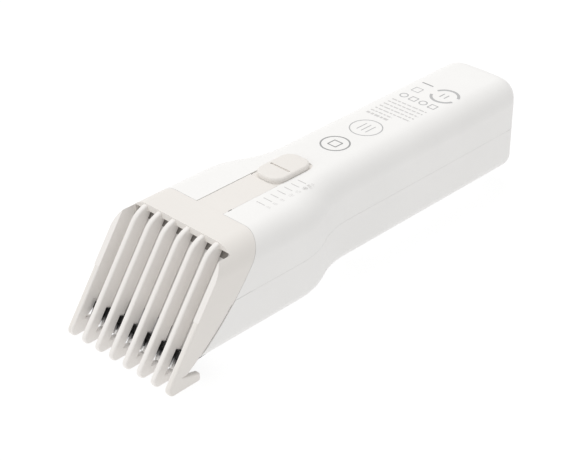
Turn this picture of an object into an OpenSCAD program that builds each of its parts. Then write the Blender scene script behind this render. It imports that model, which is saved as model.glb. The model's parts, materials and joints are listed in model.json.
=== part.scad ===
// Cordless hair clipper with a sliding guide comb.
// X runs across the width, -Y is the comb end, +Y the charging end, +Z the thumb-slider face.
// The origin lies on the surface that the clipper stands on, under the middle of its length and width.

/* [Body] */
// width across the head
head_w = 46.2; // [44:0.2:50]
// width across the handle
handle_w = 32; // [31:0.2:36]
// height of the body from underside to slider face
body_h = 32; // [31:0.5:36]
// length of the straight part of the head, from the datum line
head_len = 41.5; // [40:0.5:44]
// length of the neck between head and handle
neck_len = 28; // [24:1:30]
// distance from the datum line to the tail end
tail_y = 159.1; // [158:0.5:170]
// rounding of the long upper edges
top_r = 8; // [6:0.5:8.4]
// rounding of the long lower edges
bottom_r = 3.8; // [3:0.1:5]
// radius of the tail corners in plan
tail_corner_r = 6.5; // [6:0.1:9]
// rounding of the tail's upper edge
tail_edge_r = 4.5; // [4:0.5:7]
// shell wall thickness
wall = 1.8; // [1.6:0.1:2]
// height of the parting line between the two shells
seam_z = 15; // [14:0.5:17]

/* [Guide comb] */
// number of comb ribs, the two side walls included
rib_count = 8; // [8]
// spacing of the ribs
rib_pitch = 6.25; // [6:0.05:6.3]
// thickness of one rib
rib_t = 1.87; // [1.5:0.01:2.1]
// lean of the comb face from vertical
face_tilt = 34.6; // [33:0.1:36]
// depth of a rib square to the comb face
rib_depth = 5.4; // [5:0.1:5.6]
// depth that is left where the rib clears the blades
notch_depth = 3.75; // [3.5:0.05:3.9]
// thickness of the comb's top plate
plate_t = 2.3; // [2:0.1:2.5]

/* [Cutter] */
// half the width of the fixed blade
blade_half_w = 20.6; // [19:0.1:20.7]
// number of teeth on the fixed blade
tooth_count = 30; // [24:1:32]
// stroke of the moving blade to each side
stroke = 1; // [0.5:0.1:1]

/* [Drive and power] */
// diameter of the motor can
motor_d = 20.4; // [19:0.2:20.4]
// length of the motor can
motor_len = 30; // [26:1:32]
// diameter of the battery cell
cell_d = 18.3; // [18:0.1:18.5]
// length of the battery cell
cell_len = 65; // [60:1:66]

/* [Hidden] */
$fn = 64;
shell_white = [0.97, 0.965, 0.955];
comb_beige = [0.93, 0.915, 0.89];
steel_grey = [0.72, 0.73, 0.75];
black_plastic = [0.06, 0.06, 0.07];

half_head = head_w / 2;
half_handle = handle_w / 2;
neck_y = head_len + neck_len;
neck_step = half_head - half_handle;
neck_r = (neck_len * neck_len + neck_step * neck_step) / (4 * neck_step);
neck_angle = asin(neck_len / 2 / neck_r);
slab_x = half_handle - 8.8;  // half width of the flat middle along the handle
front_y = -12;      // body forms start ahead of the nose and are cut back
band = 10;          // width of the rounded band that runs round the body's outline
fill_in = 9.2;      // inset of the flat middle of the body's outline
bow_r = 90;         // radius of the bowed tail end in plan

// comb face: the plane that the rib fronts lie in, as a point and a lean
face_y = -14.3;
face_z = -4;
leg_z = -6.4;       // lowest line of the ribs, where the clipper stands
tip_r = 1.5;
gap = 0.2;          // play between sliding faces
seam_gap = 0.12;    // fine parting line between the shells
floor_z = body_h - plate_t - gap;      // floor of the comb recess and of the slider channel
floor_t = 1.8;
nose_depth = 6.0;   // the nose face lies this far behind the comb face
nose_inset = 1.9;   // the nose fits inside the shells
nose_low = 1.95;    // underside of the nose
comb_wall = 1.6;
comb_hollow_r = 4.5;
notch_top = 11.4;   // along the rib, where the blade notch ends
tip_s = 5.5;        // along the rib, where the blade tips lie
blade_front = 4.2;  // depth of the fixed blade's front face
blade_t = 0.8;
plate_front_y = 13.5;
plate_rear_y = 27.8;
plate_rear_r = 73;
tongue_half_w = 5.6;
tongue_rear_y = 48.1;
channel_half_w = 5.8;
button_front_y = 48.25;
button_rear_y = 65.6;
button_half_w = 5.55;
button_z = 33.5;
button_corner_r = 4.4;
// large arc along the rear edge of the comb's side walls, in the side view
edge_r = 98.5;
edge_y = -60.3;
edge_z = 81;

stand_z = -leg_z;

// motor and drive
axis_z = 10;
motor_y = 27;
motor_flat_h = 15.4;
cam_y = 13;
ear_screw_x = 15;
ear_screw_y = 37;
ear_rear_y = 39.9;
detent_y = 62.3;
pin_r = 1;
shaft_r = 1;

// battery, board and button
cell_y = 81;
cell_z = 18;
cell_x = 0;
board_z = 5.2;
board_t = 1.2;
board_y0 = 72;
board_y1 = 156.2;
board_half_w = 10.5;
switch_y = 84;
button_r = 5.5;
boss_r = 2.6;
boss_top = 26;
usb_z = board_z + board_t + 1.68;
usb_half_w = 4.47;
usb_half_h = 1.63;
usb_depth = 7.35;
led_y = 97;

// the frame's origin is midway between the rib tips and the tail
front_reach = face_y_at(tip_r, leg_z + tip_r) - tip_r;
origin_y = (tail_y + front_reach) / 2;

// ---- helpers -------------------------------------------------------------

// body coordinates have the underside at zero and the datum line across the head front
module placed()
    translate([0, -origin_y, stand_z]) children();

// face coordinates: x across, y = depth behind the comb face, z = distance up along it
module on_face()
    translate([0, face_y, face_z]) rotate([-face_tilt, 0, 0]) children();

// side-view outline in (y, z) extruded across, centred on x
module side_slab(x, w)
    translate([x - w / 2, 0, 0]) rotate([90, 0, 90]) linear_extrude(w) children();

module mirrored_x() {
    children();
    mirror([1, 0, 0]) children();
}

module plate(x0, x1, y0, y1, z0, z1)
    translate([x0, y0, z0]) cube([x1 - x0, y1 - y0, z1 - z0]);

module rod_y(r, y0, y1, x = 0, z = 0)
    translate([x, y0, z]) rotate([-90, 0, 0]) cylinder(r = r, h = y1 - y0);

module rod_z(r, z0, z1, x = 0, y = 0)
    translate([x, y, z0]) cylinder(r = r, h = z1 - z0);

function arc(cx, cy, r, a0, a1, n, first = 0) =
    [for (i = [first:n]) let (a = a0 + (a1 - a0) * i / n) [cx + r * cos(a), cy + r * sin(a)]];

// point in the side view for a depth and a distance along the comb face
function face_point(depth, along) =
    [face_y + along * sin(face_tilt) + depth * cos(face_tilt),
     face_z + along * cos(face_tilt) - depth * sin(face_tilt)];

// y of the plane at a depth behind the comb face, at height z
function face_y_at(depth, z) = face_y + (z - face_z) * tan(face_tilt) + depth / cos(face_tilt);

// rounded rectangle with true corner arcs
module round_rect(w, h, r) {
    square([w - 2 * r, h], center = true);
    square([w, h - 2 * r], center = true);
    for (sx = [-1, 1], sy = [-1, 1])
        translate([sx * (w / 2 - r), sy * (h / 2 - r)]) circle(r);
}

// ---- body form -----------------------------------------------------------

// cross-section of the rounded band, its outer side on x = 0 and the body on the given side of it
module rim_section(width, inset, side = -1) {
    low = inset;
    high = body_h - inset;
    rt = top_r - inset;
    rb = bottom_r - inset;
    difference() {
        translate([side < 0 ? -width : 0, low]) square([width, high - low]);
        difference() {
            translate([side < 0 ? -rt : -1, high - rt]) square([rt + 1, rt + 1]);
            translate([side * rt, high - rt]) circle(rt);
        }
        difference() {
            translate([side < 0 ? -rb : -1, low - 1]) square([rb + 1, rb + 1]);
            translate([side * rb, low + rb]) circle(rb);
        }
    }
}

module rim_straight(x, y0, y1, inset)
    translate([x, y1, 0]) rotate([90, 0, 0]) linear_extrude(y1 - y0) rim_section(band, inset);

module rim_turn(cx, cy, reach, width, a0, a1, inset)
    translate([cx, cy, 0]) rotate([0, 0, a0]) rotate_extrude(angle = a1 - a0, $fn = 96)
        translate([reach, 0]) rim_section(width, inset);

module rim_hollow_turn(cx, cy, reach, a0, a1, inset)
    translate([cx, cy, 0]) rotate([0, 0, a0]) rotate_extrude(angle = a1 - a0, $fn = 96)
        translate([reach, 0]) rim_section(band, inset, 1);

module half_sides(inset, y1) {
    rim_straight(half_head - inset, front_y, head_len, inset);
    rim_turn(half_head - neck_r, head_len, neck_r - inset, band, 0, neck_angle, inset);
    rim_hollow_turn(half_handle + neck_r, neck_y, neck_r + inset, 180, 180 + neck_angle, inset);
    rim_straight(half_handle - inset, neck_y, y1, inset);
}

// flat middle of the body, inside the rounded band
module middle_slab(inset, y1) {
    outline = concat(
        [[half_head - fill_in, front_y]],
        arc(half_head - neck_r, head_len, neck_r - fill_in, 0, neck_angle - 5, 2),
        arc(half_handle + neck_r, neck_y, neck_r + fill_in, 175 + neck_angle, 180, 2),
        [[slab_x, neck_y + 4], [slab_x, y1]]);
    back = [for (i = [len(outline) - 1:-1:0]) [-outline[i][0], outline[i][1]]];
    translate([0, 0, inset]) linear_extrude(body_h - 2 * inset) polygon(concat(outline, back));
}

// plan outline of the body with rounded tail corners and a slightly bowed end
module tail_plan() {
    r = tail_corner_r;
    corner_x = half_handle - r;
    corner_y = tail_y - bow_r + sqrt((bow_r - r) * (bow_r - r) - corner_x * corner_x);
    translate([-40, -40]) square([80, 140]);
    translate([-half_handle, 90]) square([2 * half_handle, corner_y - 90]);
    for (side = [-1, 1]) translate([side * corner_x, corner_y]) circle(r);
    intersection() {
        translate([0, tail_y - bow_r]) circle(bow_r, $fn = 160);
        polygon([[0, tail_y - bow_r], [1.3 * corner_x, tail_y - bow_r + 1.3 * (corner_y - tail_y + bow_r)],
            [-1.3 * corner_x, tail_y - bow_r + 1.3 * (corner_y - tail_y + bow_r)]]);
    }
}

// side outline that rounds the tail's upper and lower edges
module tail_side() {
    rt = tail_edge_r;
    rb = bottom_r - 0.3;
    difference() {
        translate([-60, 0]) square([tail_y + 60, body_h]);
        difference() {
            translate([tail_y - rt, body_h - rt]) square([rt + 1, rt + 1]);
            translate([tail_y - rt, body_h - rt]) circle(rt);
        }
        difference() {
            translate([tail_y - rb, -1]) square([rb + 1, rb + 1]);
            translate([tail_y - rb, rb]) circle(rb);
        }
    }
}

// the body's outer form
module body_form() {
    intersection() {
        union() {
            middle_slab(0, tail_y + 2);
            mirrored_x() half_sides(0, tail_y + 2);
        }
        linear_extrude(body_h) tail_plan();
        side_slab(0, 80) tail_side();
    }
}

// cross-section of the hollow, its corners cut in flats just inside the outer roundings
module body_section(half_w, inset) {
    rt = top_r - inset;
    rb = bottom_r - inset;
    right = concat(
        arc(half_w - rb, inset + rb, rb, -90, 0, 2),
        arc(half_w - rt, body_h - inset - rt, rt, 0, 90, 3));
    left = [for (i = [len(right) - 1:-1:0]) [-right[i][0], right[i][1]]];
    polygon(concat(right, left));
}

module straight_form(half_w, inset, y0, y1)
    translate([0, y1, 0]) rotate([90, 0, 0]) linear_extrude(y1 - y0) body_section(half_w, inset);

// the hollow of the body: straight stretches and a flat-topped neck, kept inside the rounded outside
module inner_form(inset) {
    y1 = tail_y - inset - 0.4;
    neck_out = concat(
        [[half_head - inset, head_len - 4]],
        arc(half_head - neck_r, head_len, neck_r - inset, 0, neck_angle, 5),
        arc(half_handle + neck_r, neck_y, neck_r + inset + 0.1, 180 + neck_angle, 180, 5, 1));
    neck_back = [for (i = [len(neck_out) - 1:-1:0]) [-neck_out[i][0], neck_out[i][1]]];
    union() {
        straight_form(half_head - inset, inset, front_y, head_len + 2);
        translate([0, 0, bottom_r + 0.8]) linear_extrude(body_h - top_r - bottom_r - 1.6)
            polygon(concat(neck_out, neck_back));
        intersection() {
            straight_form(half_handle - inset, inset, head_len - 8, y1);
            translate([0, 0, -1]) linear_extrude(60) polygon([[-40, 0], [40, 0], [40, y1 - 20],
                [half_handle - inset + 1, y1 - 6.4], [8.2, y1 + 0.4], [8.2, y1 + 5], [-8.2, y1 + 5],
                [-8.2, y1 + 0.4], [inset - half_handle - 1, y1 - 6.4], [-40, y1 - 20]]);
            side_slab(0, 80) polygon([[0, -5], [y1 - 3, -5], [y1 + 0.5, inset + 2.4],
                [y1 + 0.5, body_h - 8.4], [y1 - 5.4, body_h - inset + 0.5], [y1 - 10, body_h + 5],
                [0, body_h + 5]]);
        }
    }
}

// everything ahead of the comb's rear edges, grown by a clearance
module comb_side_region(play) {
    translate([-40, edge_y, edge_z]) rotate([0, 90, 0]) cylinder(r = edge_r + play, h = 80, $fn = 160);
}

module comb_plan_region(play)
    translate([0, plate_rear_y - plate_rear_r, -20])
        cylinder(r = plate_rear_r + play, h = 80, $fn = 160);

module recess_region(play)
    intersection() {
        comb_side_region(play);
        comb_plan_region(play);
    }

module channel(half_w, y1, z0, z1) {
    r = 3;
    plate(-half_w, half_w, 10, y1 - r, z0, z1);
    plate(-half_w + r, half_w - r, y1 - r - 1, y1, z0, z1);
    mirrored_x() rod_z(r, z0, z1, half_w - r, y1 - r);
}

screw_spots = [[10.4, 76.5], [-10.4, 76.5], [11, 150.5], [-11, 150.5]];

// ---- outside -------------------------------------------------------------

module top_shell() {
    rib_w = channel_half_w + 1.9;
    color(shell_white) placed() union() {
        difference() {
            union() {
                difference() {
                    body_form();
                    inner_form(wall);
                }
                intersection() {
                    inner_form(wall / 2);
                    union() {
                        plate(-rib_w, rib_w, 22, button_rear_y + 3, floor_z - floor_t, body_h - 0.5);
                        plate(-half_head, half_head, 22, 30.5, floor_z - floor_t, body_h - 0.5);
                    }
                }
                for (p = screw_spots) rod_z(boss_r, seam_z, boss_top, p[0], p[1]);
                // webs tie the screw bosses to the side walls
                mirrored_x() for (y = [76.5, 149.3])
                    plate(10.6, half_handle - wall / 2, y - 0.6, y + 0.6, seam_z, boss_top - 3);
            }
            plate(-40, 40, -40, 200, -10, seam_z);
            recess_region(0.15);
            channel(channel_half_w, button_rear_y + 0.2, floor_z, body_h + 1);
            plate(-2, 2, 35, 61, floor_z - floor_t - 1, floor_z + 1);
            for (p = screw_spots) rod_z(1, seam_z - 1, boss_top - 1, p[0], p[1]);
        }
        // floor of the comb recess
        intersection() {
            inner_form(nose_inset);
            plate(-half_head, half_head, 16, 26, floor_z - floor_t, floor_z);
        }
    }
}

module bottom_shell() {
    color(shell_white) placed() difference() {
        union() {
            difference() {
                body_form();
                inner_form(wall);
                plate(-40, 40, -40, 200, seam_z - seam_gap, 60);
            }
            for (p = screw_spots) rod_z(2.8, 1, seam_z, p[0], p[1]);
            rod_z(button_r + 2, 1, 3, 0, switch_y);
        }
        comb_side_region(0.3);
        plate(-half_head + wall, half_head - wall, -40, 4.2, -1, seam_z);
        for (p = screw_spots) {
            rod_z(1.15, -1, seam_z + 1, p[0], p[1]);
            rod_z(2.1, -1, 2.6, p[0], p[1]);
        }
        rod_z(button_r + 0.15, -1, 4, 0, switch_y);
        rod_z(1.2, -1, 4, 0, led_y);
        mirrored_x() rod_z(0.97, 0.7, 3, ear_screw_x, ear_screw_y);
        translate([0, tail_y + 2, usb_z]) rotate([90, 0, 0])
            linear_extrude(6) round_rect(2 * usb_half_w + 0.9, 2 * usb_half_h + 0.9, 1.6);
    }
}

module cutter_housing() {
    skin = 1.5;
    color(shell_white) placed() difference() {
        intersection() {
            inner_form(nose_inset);
            plate(-40, 40, -20, 24, nose_low, floor_z);
            on_face() plate(-40, 40, nose_depth, 60, 0, 60);
        }
        intersection() {
            inner_form(nose_inset + skin);
            plate(-40, 40, -20, 30, nose_low + skin, floor_z - floor_t - gap);
            on_face() plate(-40, 40, nose_depth + skin, 80, -20, 60);
        }
        // way through the underside for the drive arm
        plate(-9.6, 9.6, -20, 12.5, nose_low - 1, nose_low + skin + 2.7);
        // the shell's recess floor rests above the rear of the nose
        plate(-40, 40, 15.9, 40, floor_z - floor_t - gap, floor_z + 1);
    }
}

// one rib outline in the side view; the leg at its foot points back
module rib_outline(leg_top, leg_end_y) {
    tip_cy = face_y_at(tip_r, leg_z + tip_r);
    crown_r = 9;
    crown_z = body_h - 0.25 - crown_r;
    crown_y = face_y_at(crown_r, crown_z);
    leg_r = (leg_top - leg_z) / 2;
    polygon(concat(
        arc(crown_y, crown_z, crown_r, 180 - face_tilt, 90, 8),
        [[plate_front_y + 6, body_h - 0.25], [plate_front_y + 6, floor_z + gap],
         [face_y_at(rib_depth, floor_z + gap), floor_z + gap],
         face_point(rib_depth, notch_top),
         face_point(notch_depth, notch_top),
         [face_y_at(notch_depth, leg_top), leg_top]],
        arc(leg_end_y - leg_r, leg_z + leg_r, leg_r, 90, -90, 8),
        arc(tip_cy, leg_z + tip_r, tip_r, 270, 180 - face_tilt, 6)));
}

// outline of a side wall: rib front, foot, leg and the long rear edge
module side_wall_outline() {
    union() {
        difference() {
            polygon(concat(
                [[face_y_at(0, 40), 40]],
                [[40, 40], [40, -1.2], [-4.9, -1.2], [-6.1, -2.4], [-9, -4], face_point(0, 2)]));
            difference() {
                translate([-60, -30]) square([160, 120]);
                translate([edge_y, edge_z]) circle(edge_r, $fn = 160);
            }
        }
        rib_outline(-1.7, -1.6);
    }
}

module comb_section(half_w, top, r) {
    difference() {
        translate([-half_w, -20]) square([2 * half_w, top + 20]);
        mirrored_x() difference() {
            translate([half_w - r, top - r]) square([r + 1, r + 1]);
            translate([half_w - r, top - r]) circle(r);
        }
    }
}

module guide_comb() {
    inner_ribs = rib_count - 2;
    color(comb_beige) placed() difference() {
        intersection() {
            translate([0, 60, 0]) rotate([90, 0, 0]) linear_extrude(100)
                comb_section(half_head, body_h, top_r);
            union() {
                for (i = [0:inner_ribs - 1])
                    side_slab((i - (inner_ribs - 1) / 2) * rib_pitch, rib_t) rib_outline(-3.2, -2.4);
                mirrored_x() {
                    wall_w = half_head - (rib_count - 1) / 2 * rib_pitch + rib_t / 2;
                    side_slab(half_head - wall_w / 2, wall_w) side_wall_outline();
                }
                intersection() {
                    plate(-half_head, half_head, plate_front_y, 40, floor_z + gap, body_h);
                    recess_region(0);
                }
                intersection() {
                    plate(-half_head, half_head, face_y_at(0, 27), 40, 20, body_h);
                    plate(-half_head, half_head, plate_front_y, 40, 20, body_h);
                    recess_region(0);
                }
                plate(-tongue_half_w, tongue_half_w, 20, tongue_rear_y, floor_z + gap, body_h - 0.1);
            }
        }
        // hollow that slides over the nose
        intersection() {
            translate([0, 60, 0]) rotate([90, 0, 0]) linear_extrude(100)
                comb_section(half_head - comb_wall, floor_z + gap, comb_hollow_r);
            on_face() plate(-40, 40, rib_depth, 90, -20, 60);
        }
        // pocket under the tongue for the slider's hook
        plate(-3, 3, 42, tongue_rear_y + 1, floor_z, floor_z + 1.4);
    }
}

module slider_button() {
    w = 2 * button_half_w;
    l = button_rear_y - button_front_y;
    r = button_corner_r;
    color(comb_beige) placed() difference() {
        union() {
            translate([0, (button_front_y + button_rear_y) / 2, floor_z + gap])
                linear_extrude(button_z - 0.5 - floor_z - gap) round_rect(w, l, r);
            translate([0, (button_front_y + button_rear_y) / 2, button_z - 0.5])
                linear_extrude(0.5) round_rect(w - 1, l - 1, r - 0.5);
            // hook that holds the comb's tongue
            plate(-2.8, 2.8, 42.3, button_front_y + 1, floor_z + gap, floor_z + 1.3);
        }
        plate(-4.1, 4.1, 55.1, 55.9, button_z - 0.4, button_z + 1);
        rod_z(0.72, floor_z - 1, floor_z + 3, 0, 54.9);
        rod_z(0.72, floor_z - 1, floor_z + 3, 0, 58.9);
    }
}

module power_button() {
    color(comb_beige) placed() difference() {
        union() {
            rod_z(button_r, 0.2, 2, 0, switch_y);
            rod_z(button_r + 1, 3.15, 3.7, 0, switch_y);
            rod_z(button_r - 0.6, 2, 3.2, 0, switch_y);
            rod_z(1.4, 3.7, 3.9, 0, switch_y);
        }
        difference() {
            rod_z(2.6, -1, 0.45, 0, switch_y);
            rod_z(2.1, -1, 0.45, 0, switch_y);
        }
    }
}

module light_guide() {
    color([0.9, 0.95, 1, 0.8]) placed() union() {
        rod_z(1.15, 0.05, wall, 0, led_y);
        rod_z(1.8, wall, board_z - 0.9, 0, led_y);
    }
}

module scale_marks() {
    color([0.6, 0.6, 0.6]) placed() for (i = [0:6])
        plate(7.7, 11.1, 37.35 + 3 * i, 37.65 + 3 * i, body_h, body_h + 0.05);
}

// ---- comb drive ----------------------------------------------------------

module slider_carriage() {
    color(shell_white) placed() difference() {
        union() {
            plate(-1.8, 1.8, 53.4, 60.4, floor_z - floor_t - 1, floor_z + gap);
            plate(-6, 6, 50, 64, 25.5, floor_z - floor_t - gap);
        }
        rod_z(0.75, 20, 40, 0, 54.9);
        rod_z(0.75, 20, 40, 0, 58.9);
    }
}

module carriage_screws() {
    color(steel_grey) placed() for (y = [54.9, 58.9]) union() {
        rod_z(0.7, 24.9, 31.9, 0, y);
        rod_z(1.5, 24.6, 25.5, 0, y);
    }
}

module detent_strip() {
    color(steel_grey) placed() difference() {
        plate(7.2, 9.4, 36, 66, 26.4, floor_z - floor_t);
        for (i = [0:6]) translate([7.2, detent_y - 3 * i, 27])
            rotate([0, 0, 45]) cube([0.8, 0.8, 20], center = true);
    }
}

module detent_spring() {
    color(steel_grey) placed() union() {
        plate(-5, 6.6, 61, 63.6, 25.2, 25.5);
        plate(6.3, 6.6, 61, 63.6, 25.3, 27.2);
        rod_z(0.35, 26.2, 27.2, 6.8, detent_y);
    }
}

// ---- cutter --------------------------------------------------------------

module toothed(half_w, count, along0, root, along1, depth0, depth1, slot_w) {
    pitch = 2 * half_w / count;
    on_face() difference() {
        plate(-half_w, half_w, depth0, depth1, along0, along1);
        for (i = [0:count])
            plate(-half_w + i * pitch - slot_w / 2, -half_w + i * pitch + slot_w / 2,
                depth0 - 1, depth1 + 1, along0 - 1, root);
    }
}

module fixed_blade() {
    color(steel_grey) placed() difference() {
        toothed(blade_half_w, tooth_count, tip_s, 9.2, 11.2, blade_front, blade_front + blade_t, 0.6);
        mirrored_x() on_face() translate([19.3, 0, 10]) rotate([-90, 0, 0]) cylinder(r = 0.75, h = 20);
    }
}

module moving_blade() {
    color(black_plastic) placed() union() {
        toothed(16.6, 24, 6.7, 9.3, 10.8, blade_front + blade_t + 0.03, 6.1, 0.65);
    }
}

module blade_carrier() {
    color([0.85, 0.85, 0.86]) placed() difference() {
        union() {
            on_face() plate(-8, 8, 6.1, 7.4, 7.6, 11.6);
            side_slab(0, 10) polygon([face_point(7.4, 9.4), face_point(7.4, 11.6), [0.5, 5.4],
                [8.6, 6.2], [8.6, 3.9], [0.5, 2.6]]);
            plate(-6.2, 6.2, 8.6, 11.4, 3.9, 14.6);
        }
        plate(-3.2, 3.2, 5, 15, axis_z - 3.3, 20);
    }
}

module blade_frame() {
    color(black_plastic) placed() difference() {
        intersection() {
            union() {
                side_slab(0, 40.8) polygon([face_point(5.0, 7.2), face_point(5.0, 11.2), [-1.6, 1.9],
                    [4, 1.9], [4, -0.4], [-1, -0.9]]);
            }
            plate(-20.4, 20.4, -20, 20, -5, 1.9);
        }
        on_face() plate(-17.9, 17.9, 0, 7.9, 0, 30);
        side_slab(0, 12.6) polygon([[-8, -6], [-8, 4], [3, 4], [3, 0.9], [-1.5, -0.4], [-3, -6]]);
        mirrored_x() on_face() translate([19.3, 0, 10]) rotate([-90, 0, 0]) cylinder(r = 0.85, h = 20);
    }
}

module blade_screws() {
    color(steel_grey) placed() mirrored_x() on_face() union() {
        translate([19.3, blade_front + 0.1, 10]) rotate([-90, 0, 0]) cylinder(r = 0.7, h = 3.4);
    }
}

module blade_spring() {
    color(steel_grey) placed() on_face() union() {
        mirrored_x() plate(6.4, 17.9, 7.45, 7.65, 9.6, 10.8);
    }
}

// ---- drive ---------------------------------------------------------------

module motor_can() {
    color(steel_grey) placed() difference() {
        intersection() {
            rod_y(motor_d / 2, motor_y, motor_y + motor_len, 0, axis_z);
            plate(-20, 20, 0, 100, axis_z - motor_flat_h / 2, axis_z + motor_flat_h / 2);
        }
        intersection() {
            rod_y(motor_d / 2 - 1, motor_y + 1, motor_y + motor_len + 1, 0, axis_z);
            plate(-20, 20, 0, 100, axis_z - motor_flat_h / 2 + 1, axis_z + motor_flat_h / 2 - 1);
        }
        rod_y(3, motor_y - 1, motor_y + 2, 0, axis_z);
    }
}

module motor_magnets() {
    color([0.25, 0.25, 0.27]) placed() intersection() {
        difference() {
            rod_y(motor_d / 2 - 1.05, motor_y + 4, motor_y + 24, 0, axis_z);
            rod_y(motor_d / 2 - 3, motor_y + 3, motor_y + 25, 0, axis_z);
        }
        plate(-20, 20, 0, 100, axis_z - 5, axis_z + 5);
    }
}

module motor_bush() {
    color([0.75, 0.6, 0.35]) placed() difference() {
        rod_y(3, motor_y - 1.2, motor_y + 2, 0, axis_z);
        rod_y(shaft_r + 0.03, motor_y - 3, motor_y + 3, 0, axis_z);
    }
}

module motor_end_cap() {
    color(black_plastic) placed() difference() {
        intersection() {
            rod_y(motor_d / 2 - 1.02, motor_y + motor_len - 2.5, motor_y + motor_len, 0, axis_z);
            plate(-20, 20, 0, 100, axis_z - motor_flat_h / 2 + 1.02, axis_z + motor_flat_h / 2 - 1.02);
        }
        rod_y(shaft_r + 0.03, motor_y, motor_y + motor_len + 1, 0, axis_z);
        mirrored_x() plate(4.9, 5.5, motor_y, motor_y + motor_len + 1, axis_z - 1.1, axis_z + 1.1);
    }
}

module motor_terminals() {
    color([0.8, 0.65, 0.3]) placed() mirrored_x()
        plate(5, 5.4, motor_y + motor_len - 2.5, motor_y + motor_len + 3, axis_z - 1, axis_z + 1);
}

module motor_shaft() {
    color(steel_grey) placed() rod_y(shaft_r, 14.2, motor_y + motor_len - 0.5, 0, axis_z);
}

module motor_rotor() {
    color([0.6, 0.35, 0.2]) placed() difference() {
        rod_y(6.6, motor_y + 5, motor_y + 22, 0, axis_z);
        rod_y(shaft_r, motor_y, motor_y + 30, 0, axis_z);
        for (a = [90, 210, 330]) translate([0, motor_y, axis_z]) rotate([0, a, 0])
            plate(-0.8, 0.8, 0, 30, 4, 8);
    }
}

module eccentric_cam() {
    color(shell_white) placed() difference() {
        union() {
            rod_y(3.4, cam_y, 17.5, 0, axis_z);
            rod_y(pin_r, 9, cam_y, 0, axis_z + stroke);
        }
        rod_y(shaft_r, 14.2, 30, 0, axis_z);
    }
}

module motor_bracket() {
    r = motor_d / 2 + 0.05;
    color(black_plastic) placed() difference() {
        union() {
            plate(-12.2, 12.2, 30, 50, 1.8, axis_z);
            plate(-17.5, -12, 34, ear_rear_y, 1.8, 4);
            plate(12, 17.5, 34, ear_rear_y, 1.8, 4);
        }
        intersection() {
            rod_y(r, 20, 70, 0, axis_z);
            plate(-30, 30, 0, 80, axis_z - motor_flat_h / 2, 30);
        }
        mirrored_x() rod_z(1, 0, 10, ear_screw_x, ear_screw_y);
    }
}

module bracket_screws() {
    color(steel_grey) placed() mirrored_x() union() {
        rod_z(0.95, 0.9, 4, ear_screw_x, ear_screw_y);
        rod_z(1.9, 4, 5.2, ear_screw_x, ear_screw_y);
    }
}

// ---- power and control ---------------------------------------------------

module battery_cell() {
    color([0.25, 0.5, 0.7]) placed() union() {
        rod_y(cell_d / 2, cell_y, cell_y + cell_len, cell_x, cell_z);
        rod_y(3, cell_y - 0.9, cell_y, cell_x, cell_z);
    }
}

module battery_tabs() {
    color(steel_grey) placed() {
        plate(-3, 3, cell_y - 1.2, cell_y - 0.9, 8.8, cell_z + 2);
        plate(-3, 3, cell_y + cell_len, cell_y + cell_len + 0.3, 8.8, cell_z + 2);
    }
}

module battery_pad() {
    color([0.3, 0.3, 0.32]) placed() plate(-6, 6, 92, 136, cell_z + cell_d / 2, cell_z + cell_d / 2 + 2.9);
}

module battery_cradle() {
    color(shell_white) placed() for (y = [86, 138]) difference() {
        plate(-9.8, 9.8, y, y + 4, board_z + board_t, cell_z);
        rod_y(cell_d / 2 + 0.05, y - 1, y + 5, cell_x, cell_z);
        plate(-7, 7, y - 1, y + 5, 0, board_z + board_t + 1);
    }
}

module main_board() {
    color([0.1, 0.35, 0.2]) placed() difference() {
        union() {
            plate(-board_half_w, board_half_w, 80, 146, board_z, board_z + board_t);
            plate(-6.5, 6.5, board_y0, board_y1, board_z, board_z + board_t);
        }
        mirrored_x() rod_z(1.1, 0, 20, 8.6, 94);
        mirrored_x() rod_z(1.1, 0, 20, 8.6, 134);
    }
}

module board_posts() {
    color(shell_white) placed() for (y = [94, 134]) mirrored_x() difference() {
        rod_z(2, 1.8, board_z, 8.6, y);
        rod_z(0.9, 2.4, 20, 8.6, y);
    }
}

module board_screws() {
    color(steel_grey) placed() for (y = [94, 134]) mirrored_x() union() {
        rod_z(0.85, 2.6, board_z + board_t, 8.6, y);
        rod_z(1.7, board_z + board_t, board_z + board_t + 1, 8.6, y);
    }
}

module chip(x, y, w, l, h) {
    plate(x - w / 2, x + w / 2, y - l / 2, y + l / 2, board_z - h, board_z);
}

module charge_chip() {
    color(black_plastic) placed() chip(0, 146, 5, 6, 1.6);
}

module driver_chip() {
    color(black_plastic) placed() chip(0, 104, 4, 5, 1.5);
}

module power_coil() {
    color([0.3, 0.3, 0.3]) placed() chip(0, 118, 6, 6, 2.6);
}

module tact_switch() {
    color(black_plastic) placed() union() {
        plate(-2.6, 2.6, switch_y - 2.6, switch_y + 2.6, 4.6, board_z);
        rod_z(1, 4.35, 4.6, 0, switch_y);
    }
}

module button_dome() {
    color(steel_grey) placed() difference() {
        union() {
            rod_z(button_r + 0.5, 4.25, 4.35, 0, switch_y);
            plate(-button_r, button_r, switch_y - 0.6, switch_y + 0.6, 4.25, board_z);
        }
        rod_z(3.9, 4, 6, 0, switch_y);
    }
}

module usb_socket() {
    y1 = tail_y - 0.3;
    color(steel_grey) placed() translate([0, y1, usb_z]) rotate([90, 0, 0]) difference() {
        linear_extrude(usb_depth) round_rect(2 * usb_half_w, 2 * usb_half_h, 1.55);
        translate([0, 0, -1]) linear_extrude(usb_depth + 0.2)
            round_rect(2 * usb_half_w - 0.6, 2 * usb_half_h - 0.6, 1.25);
    }
}

module usb_tongue() {
    y1 = tail_y - 1.1;
    color(black_plastic) placed() plate(-3.3, 3.3, tail_y - 0.3 - usb_depth + 0.8, y1, usb_z - 0.35, usb_z + 0.35);
}

module status_led() {
    color([0.95, 0.95, 0.8]) placed()
        plate(-0.8, 0.8, led_y - 0.8, led_y + 0.8, board_z - 0.7, board_z);
}

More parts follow.
